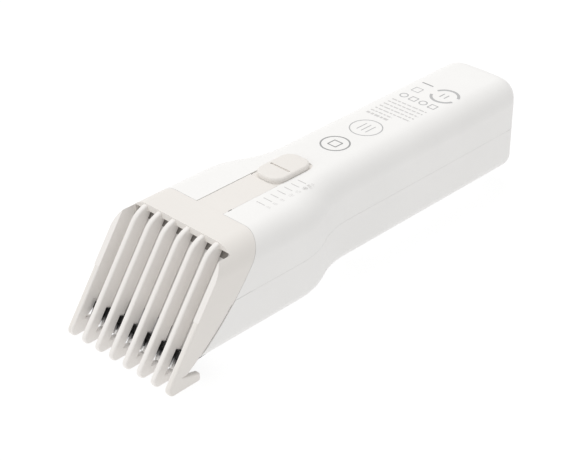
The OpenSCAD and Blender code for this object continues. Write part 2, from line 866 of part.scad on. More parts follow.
module case_screws() {
    color(steel_grey) placed() for (p = screw_spots) union() {
        rod_z(0.95, 1.2, 24, p[0], p[1]);
        rod_z(1.95, 1.2, 2.6, p[0], p[1]);
    }
}

module motor_wires() {
    color([0.7, 0.15, 0.12]) placed() mirrored_x() union() {
        rod_y(0.6, motor_y + motor_len + 3, 74.5, 5.2, axis_z);
        rod_z(0.55, board_z + board_t, axis_z, 5.2, 74);
    }
}

module battery_wires() {
    color([0.1, 0.1, 0.1]) placed() {
        rod_z(0.14, board_z + board_t, 8.8, 1.5, cell_y - 1.05);
        rod_z(0.14, board_z + board_t, 8.8, 1.5, cell_y + cell_len + 0.15);
    }
}

top_shell();
bottom_shell();
cutter_housing();
guide_comb();
slider_button();
power_button();
light_guide();
scale_marks();
slider_carriage();
carriage_screws();
detent_strip();
detent_spring();
fixed_blade();
moving_blade();
blade_carrier();
blade_frame();
blade_screws();
blade_spring();
motor_can();
motor_magnets();
motor_bush();
motor_end_cap();
motor_terminals();
motor_shaft();
motor_rotor();
eccentric_cam();
motor_bracket();
bracket_screws();
battery_cell();
battery_tabs();
battery_pad();
battery_cradle();
main_board();
board_posts();
board_screws();
charge_chip();
driver_chip();
power_coil();
tact_switch();
button_dome();
usb_socket();
usb_tongue();
status_led();
case_screws();
motor_wires();
battery_wires();
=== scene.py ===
"""Hair clipper: looks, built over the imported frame. Lengths are in the part's millimetres."""
import json
import math
import random

import bmesh
import bpy
from mathutils import Matrix, Vector


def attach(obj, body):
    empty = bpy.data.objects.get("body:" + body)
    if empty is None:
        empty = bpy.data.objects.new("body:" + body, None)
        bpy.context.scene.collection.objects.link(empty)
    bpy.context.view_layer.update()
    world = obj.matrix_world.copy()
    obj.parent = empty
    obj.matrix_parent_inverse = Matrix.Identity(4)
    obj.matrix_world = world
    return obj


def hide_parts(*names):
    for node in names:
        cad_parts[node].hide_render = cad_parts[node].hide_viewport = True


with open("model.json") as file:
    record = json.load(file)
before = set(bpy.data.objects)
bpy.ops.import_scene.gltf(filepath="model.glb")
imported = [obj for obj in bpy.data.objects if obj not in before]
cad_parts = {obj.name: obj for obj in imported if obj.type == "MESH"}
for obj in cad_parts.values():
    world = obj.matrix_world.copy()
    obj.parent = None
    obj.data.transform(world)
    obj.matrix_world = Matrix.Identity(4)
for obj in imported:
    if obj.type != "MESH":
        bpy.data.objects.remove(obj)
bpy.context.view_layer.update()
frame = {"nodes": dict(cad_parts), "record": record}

MM = 0.001
TAIL_Y = 159.1
FRONT_REACH = -14.599
ORIGIN_Y = (TAIL_Y + FRONT_REACH) / 2
STAND_Z = 6.4

# the comb's face in the side view, and how far it leans back
FACE_Y = -14.3
FACE_Z = -4.0
FACE_TILT = math.radians(34.6)


def place(x, y, z):
    """Body coordinates in mm to the frame's metres."""
    return Vector((x * MM, (y - ORIGIN_Y) * MM, (z + STAND_Z) * MM))


# ---- camera ------------------------------------------------------------------

CAM_TARGET = place(4.03, 57.14, 11.36)
CAM_AZIMUTH = math.radians(44.0)
CAM_ELEVATION = math.radians(31.66)
CAM_DISTANCE = 517.1 * MM
CAM_LENS = 100.0
CAM_SENSOR = 36.0


def make_camera():
    back = Vector((math.sin(CAM_AZIMUTH) * math.cos(CAM_ELEVATION),
                   -math.cos(CAM_AZIMUTH) * math.cos(CAM_ELEVATION),
                   math.sin(CAM_ELEVATION)))
    right = Vector((math.cos(CAM_AZIMUTH), math.sin(CAM_AZIMUTH), 0.0))
    up = back.cross(right)
    turn = Matrix((right, up, back)).transposed()
    data = bpy.data.cameras.new("view_camera")
    data.lens = CAM_LENS
    data.sensor_width = CAM_SENSOR
    data.sensor_fit = "HORIZONTAL"
    data.clip_start = 0.01
    data.clip_end = 20.0
    camera = bpy.data.objects.new("view_camera", data)
    camera.matrix_world = Matrix.Translation(CAM_TARGET + back * CAM_DISTANCE) @ turn.to_4x4()
    bpy.context.scene.collection.objects.link(camera)
    bpy.context.scene.camera = camera


make_camera()


# ---- materials ---------------------------------------------------------------

def new_material(name):
    mat = bpy.data.materials.new(name)
    mat.use_nodes = True
    nodes = mat.node_tree.nodes
    nodes.clear()
    out = nodes.new("ShaderNodeOutputMaterial")
    shader = nodes.new("ShaderNodeBsdfPrincipled")
    mat.node_tree.links.new(shader.outputs["BSDF"], out.inputs["Surface"])
    return mat, nodes, mat.node_tree.links, shader


def noise(nodes, links, coords, scale, detail=3.0, stretch=(1.0, 1.0, 1.0)):
    mapping = nodes.new("ShaderNodeMapping")
    mapping.inputs["Scale"].default_value = stretch
    links.new(coords.outputs["Object"], mapping.inputs["Vector"])
    tex = nodes.new("ShaderNodeTexNoise")
    tex.inputs["Scale"].default_value = scale
    tex.inputs["Detail"].default_value = detail
    links.new(mapping.outputs["Vector"], tex.inputs["Vector"])
    return tex


def spread(nodes, links, source, low, high):
    """Maps a 0..1 signal to a range."""
    ramp = nodes.new("ShaderNodeMapRange")
    ramp.inputs["From Min"].default_value = 0.3
    ramp.inputs["From Max"].default_value = 0.7
    ramp.inputs["To Min"].default_value = low
    ramp.inputs["To Max"].default_value = high
    links.new(source, ramp.inputs["Value"])
    return ramp.outputs["Result"]


def tint(nodes, links, source, dark, light):
    ramp = nodes.new("ShaderNodeValToRGB")
    ramp.color_ramp.elements[0].position = 0.3
    ramp.color_ramp.elements[0].color = (*dark, 1.0)
    ramp.color_ramp.elements[1].position = 0.7
    ramp.color_ramp.elements[1].color = (*light, 1.0)
    links.new(source, ramp.inputs["Fac"])
    return ramp.outputs["Color"]


def bumped(nodes, links, shader, height, strength, distance):
    bump = nodes.new("ShaderNodeBump")
    bump.inputs["Strength"].default_value = strength
    bump.inputs["Distance"].default_value = distance
    links.new(height, bump.inputs["Height"])
    links.new(bump.outputs["Normal"], shader.inputs["Normal"])


def plastic(name, colour, roughness, grain=2600.0, grain_depth=0.012, shift=0.012, glow=0.0, shine=0.45):
    """Moulded plastic: a faint mottling of colour and gloss over a fine spark-eroded grain; a glow, where
    one is given, is painted light.
    """
    mat, nodes, links, shader = new_material(name)
    coords = nodes.new("ShaderNodeTexCoord")
    clouds = noise(nodes, links, coords, 45.0, 4.0)
    dark = tuple(max(0.0, c * (1.0 - shift)) for c in colour)
    light = tuple(min(1.0, c * (1.0 + shift)) for c in colour)
    links.new(tint(nodes, links, clouds.outputs["Fac"], dark, light), shader.inputs["Base Color"])
    smears = noise(nodes, links, coords, 130.0, 5.0)
    links.new(spread(nodes, links, smears.outputs["Fac"], roughness - 0.04, roughness + 0.05),
              shader.inputs["Roughness"])
    grains = noise(nodes, links, coords, grain, 2.0)
    bumped(nodes, links, shader, grains.outputs["Fac"], 0.35, grain_depth * MM)
    shader.inputs["Specular IOR Level"].default_value = shine
    shader.inputs["Emission Color"].default_value = (*colour, 1.0)
    shader.inputs["Emission Strength"].default_value = glow
    return mat


def metal(name, colour, roughness, stretch=(1.0, 1.0, 1.0), scale=900.0, depth=0.004):
    """Ground or drawn metal with a directional grain."""
    mat, nodes, links, shader = new_material(name)
    coords = nodes.new("ShaderNodeTexCoord")
    grain = noise(nodes, links, coords, scale, 4.0, stretch)
    dark = tuple(c * 0.86 for c in colour)
    links.new(tint(nodes, links, grain.outputs["Fac"], dark, colour), shader.inputs["Base Color"])
    links.new(spread(nodes, links, grain.outputs["Fac"], roughness - 0.06, roughness + 0.08),
              shader.inputs["Roughness"])
    bumped(nodes, links, shader, grain.outputs["Fac"], 0.3, depth * MM)
    shader.inputs["Metallic"].default_value = 1.0
    return mat


def blade_steel(name):
    """Ground steel with painted shade: its colour darkens to near black above the teeth, and it is plain
    bright steel at the tips.
    """
    mat, nodes, links, shader = new_material(name)
    coords = nodes.new("ShaderNodeTexCoord")
    along = nodes.new("ShaderNodeVectorMath")
    along.operation = "DOT_PRODUCT"
    along.inputs[1].default_value = (0.0, math.sin(FACE_TILT), math.cos(FACE_TILT))
    links.new(coords.outputs["Object"], along.inputs[0])
    foot = place(0, FACE_Y, FACE_Z)
    start = foot.y * math.sin(FACE_TILT) + foot.z * math.cos(FACE_TILT)
    height = nodes.new("ShaderNodeMapRange")
    height.inputs["From Min"].default_value = start + 5.5 * MM
    height.inputs["From Max"].default_value = start + 9.5 * MM
    links.new(along.outputs["Value"], height.inputs["Value"])
    # painted shade: the base colour goes from plain steel at the tips to near black up the blade, for the
    # shade and dark reflection inside the comb's slots
    ramp = nodes.new("ShaderNodeValToRGB")
    ramp.color_ramp.elements[0].position = 0.1
    ramp.color_ramp.elements[0].color = (0.92, 0.92, 0.92, 1.0)
    ramp.color_ramp.elements[1].position = 0.8
    ramp.color_ramp.elements[1].color = (0.05, 0.05, 0.052, 1.0)
    middle = ramp.color_ramp.elements.new(0.45)
    middle.color = (0.5, 0.5, 0.51, 1.0)
    links.new(height.outputs["Result"], ramp.inputs["Fac"])
    links.new(ramp.outputs["Color"], shader.inputs["Base Color"])
    grain = noise(nodes, links, coords, 900.0, 4.0, (1.0, 8.0, 8.0))
    links.new(spread(nodes, links, grain.outputs["Fac"], 0.18, 0.34), shader.inputs["Roughness"])
    bumped(nodes, links, shader, grain.outputs["Fac"], 0.3, 0.004 * MM)
    shader.inputs["Metallic"].default_value = 0.9
    return mat


MATERIALS = {
    "shell_plastic": plastic("shell_white", (0.86, 0.85, 0.835), 0.5, shine=0.22),
    # the comb's faint glow is painted light that lifts its shaded faces
    "comb_plastic": plastic("comb_beige", (0.76, 0.73, 0.695), 0.48, glow=0.04, shine=0.25),
    "cutter_plastic": plastic("cutter_black", (0.012, 0.012, 0.014), 0.38),
    "inner_plastic": plastic("inner_grey", (0.55, 0.55, 0.55), 0.45),
    "print_ink": plastic("print_faint", (0.60, 0.59, 0.58), 0.6),
    "clear_plastic": plastic("lens_clear", (0.8, 0.84, 0.86), 0.12, 800.0, 0.003),
    "blade_steel": blade_steel("blade_ground_painted_shade"),
    "screw_steel": metal("screw_plated", (0.5, 0.5, 0.52), 0.3),
    "spring_steel": metal("spring_rolled", (0.6, 0.6, 0.62), 0.28, (8.0, 1.0, 1.0)),
    "ceramic_black": plastic("ceramic_dark", (0.01, 0.01, 0.012), 0.2, 1500.0, 0.002),
    "motor_steel": metal("motor_plated", (0.55, 0.56, 0.58), 0.32, (1.0, 6.0, 1.0)),
    "magnet": metal("magnet_dark", (0.1, 0.1, 0.11), 0.5),
    "bronze": metal("bush_bronze", (0.6, 0.42, 0.2), 0.4),
    "contact_brass": metal("contact_brass", (0.75, 0.58, 0.25), 0.3),
    "rotor_iron": metal("rotor_lacquer", (0.38, 0.2, 0.12), 0.45),
    "cell_wrap": plastic("cell_blue", (0.05, 0.16, 0.38), 0.25, 500.0, 0.004),
    "foam": plastic("foam_dark", (0.03, 0.03, 0.035), 0.9, 900.0, 0.12, 0.15),
    "board": plastic("board_green", (0.02, 0.12, 0.05), 0.3, 700.0, 0.01),
    "chip_black": plastic("chip_epoxy", (0.015, 0.015, 0.016), 0.5, 1500.0, 0.01),
    "wire_cover": plastic("wire_red", (0.35, 0.02, 0.02), 0.35, 600.0, 0.004),
}


def dress_cad_nodes():
    slots = {entry["node"]: entry["material_slot"] for entry in frame["record"]["subparts"]}
    for name, node in frame["nodes"].items():
        node.data.materials.clear()
        node.data.materials.append(MATERIALS[slots[name]])


dress_cad_nodes()


# ---- mesh helpers ------------------------------------------------------------

# vertices nearer than this are one vertex
WELD_GAP = 0.002
SHARP_ANGLE = 40.0
ROD_SIDES = 32
# larger than any piece, for the sides of a cutting box that cut nothing
FAR = 60.0


def arc(cx, cy, radius, start, end, steps):
    angles = [math.radians(start + (end - start) * i / steps) for i in range(steps + 1)]
    return [(cx + radius * math.cos(a), cy + radius * math.sin(a)) for a in angles]


def as_object(name, work):
    """Turns a bmesh into an object in the scene."""
    data = bpy.data.meshes.new(name)
    work.to_mesh(data)
    work.free()
    made = bpy.data.objects.new(name, data)
    bpy.context.scene.collection.objects.link(made)
    return made


def loft(work, rings):
    """Closed skin through rings of vertices, capped at both ends."""
    for low, high in zip(rings, rings[1:]):
        for i in range(len(low)):
            j = (i + 1) % len(low)
            work.faces.new((low[i], low[j], high[j], high[i]))
    work.faces.new(rings[0][::-1])
    work.faces.new(rings[-1])


def box_tool(name, x0, x1, y0, y1, z0, z1):
    """Box to cut with, given by its sides."""
    work = bmesh.new()
    bmesh.ops.create_cube(work, size=1.0)
    for vert in work.verts:
        vert.co = place((x0 + x1) / 2 + vert.co.x * (x1 - x0), (y0 + y1) / 2 + vert.co.y * (y1 - y0),
                        (z0 + z1) / 2 + vert.co.z * (z1 - z0))
    return as_object(name, work)


def rod_tool(radius, at, length, axis="Z"):
    """Cylinder to cut with, centred on a point."""
    work = bmesh.new()
    bmesh.ops.create_cone(work, cap_ends=True, segments=ROD_SIDES, radius1=radius * MM, radius2=radius * MM,
                          depth=length * MM)
    if axis == "Y":
        quarter = Matrix.Rotation(math.pi / 2, 3, "X")
        bmesh.ops.rotate(work, verts=work.verts[:], cent=(0, 0, 0), matrix=quarter)
    bmesh.ops.translate(work, verts=work.verts[:], vec=place(*at))
    return as_object("rod_tool", work)


def carve(base, tools):
    """Takes the tools off the base, deletes them all and returns what is left as a bmesh."""
    for tool in tools:
        cut = base.modifiers.new("carve", "BOOLEAN")
        cut.operation = "DIFFERENCE"
        cut.object = tool
        cut.solver = "EXACT"
    graph = bpy.context.evaluated_depsgraph_get()
    result = bpy.data.meshes.new_from_object(base.evaluated_get(graph))
    for used in [base] + tools:
        bpy.data.objects.remove(used)
    shape = bmesh.new()
    shape.from_mesh(result)
    return shape


def merge_flats(shape, angle):
    """Welds the vertices and joins faces that lie within an angle in degrees of each other."""
    bmesh.ops.remove_doubles(shape, verts=shape.verts[:], dist=WELD_GAP * MM)
    bmesh.ops.dissolve_limit(shape, angle_limit=math.radians(angle), verts=shape.verts[:],
                             edges=shape.edges[:])


def even_shading(piece):
    normals = piece.modifiers.new("even_shading", "WEIGHTED_NORMAL")
    normals.keep_sharp = True


def soft_edges(piece, width, angle):
    bevel = piece.modifiers.new("soft_edges", "BEVEL")
    bevel.width = width * MM
    bevel.segments = 3
    bevel.limit_method = "ANGLE"
    bevel.angle_limit = math.radians(angle)
    return bevel


def new_piece(name, work, material, body):
    """Smooth-shaded piece that rides on a body."""
    piece = as_object(name, work)
    piece.data.materials.append(material)
    piece.data.polygons.foreach_set("use_smooth", [True] * len(piece.data.polygons))
    piece.data.set_sharp_from_angle(angle=math.radians(SHARP_ANGLE))
    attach(piece, body)
    return piece


def prism(work, outline, x, thickness, round_by, segments=3):
    """Adds a slab square to X with the rims of both faces rounded."""
    slab = bmesh.new()
    near = [slab.verts.new(place(x - thickness / 2, y, z)) for y, z in outline]
    far = [slab.verts.new(place(x + thickness / 2, y, z)) for y, z in outline]
    caps = [slab.faces.new(near), slab.faces.new(far[::-1])]
    count = len(outline)
    for i in range(count):
        j = (i + 1) % count
        slab.faces.new((near[j], near[i], far[i], far[j]))
    bmesh.ops.recalc_face_normals(slab, faces=slab.faces[:])
    rims = {edge for cap in caps for edge in cap.edges}
    bmesh.ops.bevel(slab, geom=list(rims), offset=round_by * MM, offset_type="OFFSET", segments=segments,
                    profile=0.5, affect="EDGES", clamp_overlap=True)
    part = bpy.data.meshes.new("prism")
    slab.to_mesh(part)
    slab.free()
    work.from_mesh(part)
    bpy.data.meshes.remove(part)


# ---- soft edges on the cutter housing ----------------------------------------

def soften(name, width):
    """Rounds the sharp edges of a CAD node with modifiers, its mesh stays as it is."""
    node = frame["nodes"][name]
    node.data.polygons.foreach_set("use_smooth", [True] * len(node.data.polygons))
    weld = node.modifiers.new("weld", "WELD")
    weld.merge_threshold = WELD_GAP * MM
    flat = node.modifiers.new("flat_faces", "DECIMATE")
    flat.decimate_type = "DISSOLVE"
    flat.angle_limit = math.radians(0.4)
    soft_edges(node, width, 35.0).miter_outer = "MITER_ARC"
    even_shading(node)


soften("cutter_housing", 0.25)


# ---- guide comb --------------------------------------------------------------

FOOT_Z = -6.4
TIP_R = 2.1
CROWN_R = 9.0
CROWN_TOP = 31.75
RIB_T = 1.87
RIB_PITCH = 6.25
RIB_DEPTH = 5.4
NOTCH_DEPTH = 3.75
NOTCH_TOP = 11.4
LIP_Y = 13.5
LEG_TOP = -3.2
LEG_END_Y = -2.4
PLATE_LOW = 29.7
INNER_RIBS = 6
RIB_RIM = 0.55
# the walls stand outside this half width, and the lip is thinned this far behind its front
ROOM_HALF_W = 20.5
LIP_THIN_BY = 2.5
WALL_START_X = 20.4
# the walls are cut off below FOOT_CUT, and the drawn feet reach up inside them to FOOT_TOP
FOOT_CUT = 14.0
FOOT_TOP = 15.5
WALL_RIM = 0.55
WALL_IN = 20.96
FOOT_OUT = 23.06
FLANK_IN = 21.52
FLANK_OUT = 23.08
FLANK_DEPTH = 1.5
# circle of the long rear edge, and the leg below it
EDGE_Y = -60.3
EDGE_Z = 81.0
EDGE_R = 98.5
LEG_CORNER_Z = -1.8
LEG_END_R = 0.8
LEG_SLOPE = 1.5
LEG_RISE = 0.15
LEG_BACK_Y = -1.6
# painted shadow under the lip, a dark strip: its foot, its head, and its depths behind the comb's face
SHADOW_LOW = 26.6
SHADOW_HIGH = 29.35
SHADOW_FRONT = 5.86
SHADOW_BACK = 6.3
SHADOW_W = 37.0

# painted light: a faint glow that brightens the shaded sides of the ribs and the walls' inner faces,
# standing in for the light that reaches them through and between the thin ribs
PAINTED_GLOW_COMB = plastic("comb_thin_painted_glow", (0.75, 0.725, 0.70), 0.48, glow=0.11, shine=0.25)


def face_point(depth, along):
    """Point in the side view for a depth behind the comb face and a distance along it."""
    return (FACE_Y + along * math.sin(FACE_TILT) + depth * math.cos(FACE_TILT),
            FACE_Z + along * math.cos(FACE_TILT) - depth * math.sin(FACE_TILT))


def face_y_at(depth, z):
    """Y of the plane at a depth behind the comb face, at a height."""
    return FACE_Y + (z - FACE_Z) * math.tan(FACE_TILT) + depth / math.cos(FACE_TILT)


def rib_outline():
    """A rib in the side view: rounded crown, root under the lip, notch over the blade, leg and tip."""
    tilt = math.degrees(FACE_TILT)
    crown_z = CROWN_TOP - CROWN_R
    leg_r = (LEG_TOP - FOOT_Z) / 2
    return (arc(face_y_at(CROWN_R, crown_z), crown_z, CROWN_R, 180 - tilt, 90, 14)
            + [(LIP_Y + 4, CROWN_TOP), (LIP_Y + 4, PLATE_LOW),
               (face_y_at(RIB_DEPTH, PLATE_LOW), PLATE_LOW),
               face_point(RIB_DEPTH, NOTCH_TOP), face_point(NOTCH_DEPTH, NOTCH_TOP),
               (face_y_at(NOTCH_DEPTH, LEG_TOP), LEG_TOP)]
            + arc(LEG_END_Y - leg_r, FOOT_Z + leg_r, leg_r, 90, -90, 12)
            + arc(face_y_at(TIP_R, FOOT_Z + TIP_R), FOOT_Z + TIP_R, TIP_R, 270, 180 - tilt, 12))


def make_ribs():
    work = bmesh.new()
    outline = rib_outline()
    for i in range(INNER_RIBS):
        prism(work, outline, (i - (INNER_RIBS - 1) / 2) * RIB_PITCH, RIB_T, RIB_RIM)
    # the ribs take the glowing material, which is painted light on their shaded sides
    even_shading(new_piece("comb_ribs", work, PAINTED_GLOW_COMB, "comb_unit"))


def foot_outline():
    """Lower front of a side wall: face, tip, leg with a blunt end, and the edge behind the face."""
    return ([(face_y_at(0, FOOT_TOP), FOOT_TOP), (face_y_at(RIB_DEPTH, FOOT_TOP), FOOT_TOP),
             face_point(RIB_DEPTH, NOTCH_TOP), face_point(NOTCH_DEPTH, NOTCH_TOP),
             (face_y_at(NOTCH_DEPTH, LEG_CORNER_Z), LEG_CORNER_Z)]
            + arc(LEG_BACK_Y - LEG_END_R, LEG_CORNER_Z - LEG_SLOPE - LEG_END_R, LEG_END_R, 80, 0, 5)
            + arc(LEG_BACK_Y - LEG_END_R, FOOT_Z + LEG_RISE + LEG_END_R, LEG_END_R, 0, -88, 5)
            + arc(face_y_at(TIP_R, FOOT_Z + TIP_R), FOOT_Z + TIP_R, TIP_R, 270,
                  180 - math.degrees(FACE_TILT), 12))


def flank_outline():
    """Lower rear of a side wall, from a little behind the face to the long rear edge."""
    high = math.degrees(math.asin((FOOT_TOP - EDGE_Z) / EDGE_R))
    low = math.degrees(math.asin((LEG_CORNER_Z - EDGE_Z) / EDGE_R))
    return ([(face_y_at(FLANK_DEPTH, FOOT_TOP), FOOT_TOP)] + arc(EDGE_Y, EDGE_Z, EDGE_R, high, low, 16)
            + [(face_y_at(FLANK_DEPTH, LEG_CORNER_Z), LEG_CORNER_Z)])


def make_wall_feet():
    work = bmesh.new()
    for side in (-1, 1):
        prism(work, foot_outline(), side * (WALL_IN + FOOT_OUT) / 2, FOOT_OUT - WALL_IN, WALL_RIM)
        prism(work, flank_outline(), side * (FLANK_IN + FLANK_OUT) / 2, FLANK_OUT - FLANK_IN, WALL_RIM)
    feet = new_piece("comb_feet", work, MATERIALS["comb_plastic"], "comb_unit")
    # faces that look inward take the glowing material: painted light on the shaded inner sides of the walls
    feet.data.materials.append(PAINTED_GLOW_COMB)
    for face in feet.data.polygons:
        face.material_index = 1 if face.normal.x * face.center.x < 0 else 0
    even_shading(feet)


def make_comb_body():
    """The comb's plate, tongue and side walls: the CAD comb without its ribs and feet, edges soft."""
    work = bmesh.new()
    work.from_mesh(frame["nodes"]["guide_comb"].data)
    bmesh.ops.remove_doubles(work, verts=work.verts[:], dist=WELD_GAP * MM)
    room = box_tool("rib_room", -ROOM_HALF_W, ROOM_HALF_W, -FAR, LIP_Y, -FAR, FAR)
    under_lip = box_tool("under_lip", -ROOM_HALF_W, ROOM_HALF_W, -FAR, LIP_Y + LIP_THIN_BY, -FAR,
                         PLATE_LOW + 0.1)
    shape = carve(as_object("comb_raw", work), [room, under_lip])
    merge_flats(shape, 0.5)
    rounded = as_object("comb_rounded", shape)
    soft_edges(rounded, WALL_RIM, 50.0)
    shape = carve(rounded, [box_tool("foot_room", -FAR, FAR, -FAR, FAR, -FAR, FOOT_CUT)])
    plate = new_piece("comb_plate", shape, MATERIALS["comb_plastic"], "comb_unit")
    plate.data.materials.append(PAINTED_GLOW_COMB)
    # inward faces of the walls ahead of the lip take the glowing material: painted light on their shaded
    # side
    wall_rear = place(0, LIP_Y, 0).y
    for face in plate.data.polygons:
        inward = face.normal.x * face.center.x < 0
        in_wall = inward and abs(face.center.x) > WALL_START_X * MM and face.center.y < wall_rear
        face.material_index = 1 if in_wall else 0
    even_shading(plate)
    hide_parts("guide_comb")


def make_shadow_band():
    """Painted shadow: a dark strip along the top of the nose face, under the comb's lip, where the shade
    falls.
    """
    work = bmesh.new()
    outline = [(face_y_at(SHADOW_FRONT, SHADOW_LOW), SHADOW_LOW),
               (face_y_at(SHADOW_FRONT, SHADOW_HIGH), SHADOW_HIGH),
               (face_y_at(SHADOW_BACK, SHADOW_HIGH), SHADOW_HIGH),
               (face_y_at(SHADOW_BACK, SHADOW_LOW), SHADOW_LOW)]
    prism(work, outline, 0, SHADOW_W, 0.05, 1)
    dark = plastic("painted_shadow_dark", (0.24, 0.225, 0.21), 0.7)
    new_piece("nose_painted_shadow", work, dark, "body")


make_ribs()
make_comb_body()
make_wall_feet()


# ---- slider button -----------------------------------------------------------

KEY_FRONT = 48.25
KEY_REAR = 65.6
KEY_HALF_W = 5.55
KEY_TOP = 33.5
KEY_CORNER = 4.4
KEY_RIM = 0.9
KEY_FOOT = 29.7
SKIRT_TOP = 31.75
GROOVE_Y = 55.5
GROOVE_HALF_L = 4.1
GROOVE_HALF_W = 0.42
GROOVE_DEPTH = 0.4
SKIRT_CORNER = 0.6
SKIRT_RIM = 0.1
RIM_STEPS = 7


def key_ring(work, inset, z, corner, steps=8):
    """One rounded-rectangle loop of the button at a height."""
    half_w = KEY_HALF_W - inset
    corner = corner - inset
    front, rear = KEY_FRONT + inset, KEY_REAR - inset
    centres = [(half_w - corner, rear - corner, 0), (corner - half_w, rear - corner, 90),
               (corner - half_w, front + corner, 180), (half_w - corner, front + corner, 270)]
    loop = []
    for cx, cy, turn in centres:
        loop += [work.verts.new(place(x, y, z)) for x, y in arc(cx, cy, corner, turn, turn + 90, steps)]
    return loop


def make_slider_key():
    """Thumb key with a rolled rim and a cross groove."""
    work = bmesh.new()
    rings = [key_ring(work, 0.0, KEY_FOOT, KEY_CORNER), key_ring(work, 0.0, KEY_TOP - KEY_RIM, KEY_CORNER)]
    for i in range(1, RIM_STEPS + 1):
        turn = math.pi / 2 * i / RIM_STEPS
        rings.append(key_ring(work, KEY_RIM * (1 - math.cos(turn)),
                              KEY_TOP - KEY_RIM * (1 - math.sin(turn)), KEY_CORNER))
    loft(work, rings)
    groove = box_tool("key_groove", -GROOVE_HALF_L, GROOVE_HALF_L, GROOVE_Y - GROOVE_HALF_W,
                      GROOVE_Y + GROOVE_HALF_W, KEY_TOP - GROOVE_DEPTH, KEY_TOP + 1)
    shape = carve(as_object("key_raw", work), [groove])
    key = new_piece("slider_key", shape, MATERIALS["comb_plastic"], "comb_unit")
    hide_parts("slider_button")


def make_slider_skirt():
    """Low skirt that covers the channel round the key."""
    work = bmesh.new()
    levels = ((0.0, KEY_FOOT), (0.0, SKIRT_TOP - SKIRT_RIM), (SKIRT_RIM, SKIRT_TOP))
    loft(work, [key_ring(work, inset, z, SKIRT_CORNER, 4) for inset, z in levels])
    new_piece("slider_skirt", work, MATERIALS["comb_plastic"], "comb_unit")


make_slider_key()
make_slider_skirt()


# ---- rounded tail ------------------------------------------------------------

HALF_HEAD = 23.1
HALF_HANDLE = 16.0
HEAD_LEN = 41.5
NECK_LEN = 28.0
SEAM_Z = 15.0
SEAM_GAP = 0.12
BODY_H = 32.0
TAIL_CUT = 145.0
TAIL_TIP = 160.0
BOW_R = 90.0
CORNER_R = 7.5
SIDE_TOP_R = 8.0
SIDE_LOW_R = 3.8
END_TOP_R = 5.5
END_LOW_R = 3.5
WALL = 1.8
USB_Z = 8.08
USB_HALF_W = 4.92
USB_HALF_H = 2.05
PORT_FRONT = 155.0
PORT_REAR = 165.0
PORT_ROD_L = 9.0
# rear case screws: each bore is its radius, the height of its middle and its length
SCREW_X = 11.0
SCREW_Y = 150.5
SCREW_HEAD = (2.1, 0.8, 3.6)
SCREW_SHANK = (1.15, 3.0, 8.0)
# how far the hollow's cutting solid runs past the shell it is taken from
OVERRUN_Z = 2.0
OVERRUN_Y = 3.0
# the corners of the plan tighten as the section draws in
LEAST_CORNER = 1.2
CORNER_SHRINK = 0.8


def tail_outline(side_in, end_in, start_y, steps=12):
    """Plan outline of the tail, its side faces and its bowed end set in by different amounts."""
    half = HALF_HANDLE - side_in
    end = TAIL_TIP - end_in
    corner = max(LEAST_CORNER, CORNER_R - CORNER_SHRINK * max(side_in, end_in))
    cx = half - corner
    cy = end - BOW_R + math.sqrt((BOW_R - corner) ** 2 - cx ** 2)
    meet = math.degrees(math.atan2(cy - end + BOW_R, cx))
    right = arc(cx, cy, corner, 0, meet, steps)
    bow = arc(0, end - BOW_R, BOW_R, meet, 180 - meet, steps)
    left = arc(-cx, cy, corner, 180 - meet, 180, steps)
    return [(half, start_y)] + right + bow[1:-1] + left + [(-half, start_y)]


def edge_in(radius, rise):
    """How far a rounding of this radius draws in at a rise above its start."""
    if rise <= 0:
        return 0.0
    return radius - math.sqrt(max(0.0, radius ** 2 - min(rise, radius) ** 2))


def tail_solid(inset, z_low, z_high, start_y, steps=14):
    """Closed solid of the tail between two heights, the body's roundings set in all round."""
    top_r = SIDE_TOP_R - inset
    low_r = SIDE_LOW_R - inset
    top = BODY_H - inset
    heights = [z_low, z_high]
    for i in range(steps + 1):
        swing = math.pi / 2 * i / steps
        heights.append(top - top_r + top_r * math.sin(swing))
        heights.append(inset + low_r - low_r * math.sin(swing))
    levels = sorted({round(z, 4) for z in heights if z_low <= z <= z_high})
    work = bmesh.new()
    rows = []
    for z in levels:
        side = inset + max(edge_in(top_r, z - top + top_r), edge_in(low_r, inset + low_r - z))
        end_top = END_TOP_R - inset
        end_low = END_LOW_R - inset
        end = inset + max(edge_in(end_top, z - top + end_top), edge_in(end_low, inset + end_low - z))
        rows.append([work.verts.new(place(x, y, z)) for x, y in tail_outline(side, end, start_y)])
    loft(work, rows)
    bmesh.ops.recalc_face_normals(work, faces=work.faces[:])
    return as_object("tail_solid", work)


def make_tail_shell(name, solid, tools):
    shape = carve(solid, tools)
    merge_flats(shape, 0.3)
    even_shading(new_piece(name, shape, MATERIALS["shell_plastic"], "body"))


def shell_front(name):
    """The CAD shell ahead of the rounded tail, with the shading normals that it came with."""
    data = frame["nodes"][name].data.copy()
    data.name = name + "_front"
    facing = [Vector((0, 0, 1))] * len(data.vertices)
    for loop in data.loops:
        facing[loop.vertex_index] = data.corner_normals[loop.index].vector.copy()
    mesh = bmesh.new()
    mesh.from_mesh(data)
    keep = mesh.verts.layers.float_vector.new("keep")
    mesh.verts.ensure_lookup_table()
    for vert, normal in zip(mesh.verts, facing):
        vert[keep] = normal
    bmesh.ops.bisect_plane(mesh, geom=mesh.verts[:] + mesh.edges[:] + mesh.faces[:], dist=0.0001 * MM,
                           plane_co=(0, place(0, TAIL_CUT, 0).y, 0), plane_no=(0, 1, 0), clear_outer=True)
    kept = [vert[keep].normalized() for vert in mesh.verts]
    mesh.verts.layers.float_vector.remove(keep)
    mesh.to_mesh(data)
    mesh.free()
    data.polygons.foreach_set("use_smooth", [True] * len(data.polygons))
    data.normals_split_custom_set_from_vertices(kept)
    data.materials.clear()
    data.materials.append(MATERIALS["shell_plastic"])
    piece = bpy.data.objects.new(name + "_front", data)
    bpy.context.scene.collection.objects.link(piece)
    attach(piece, "body")
    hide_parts(name)


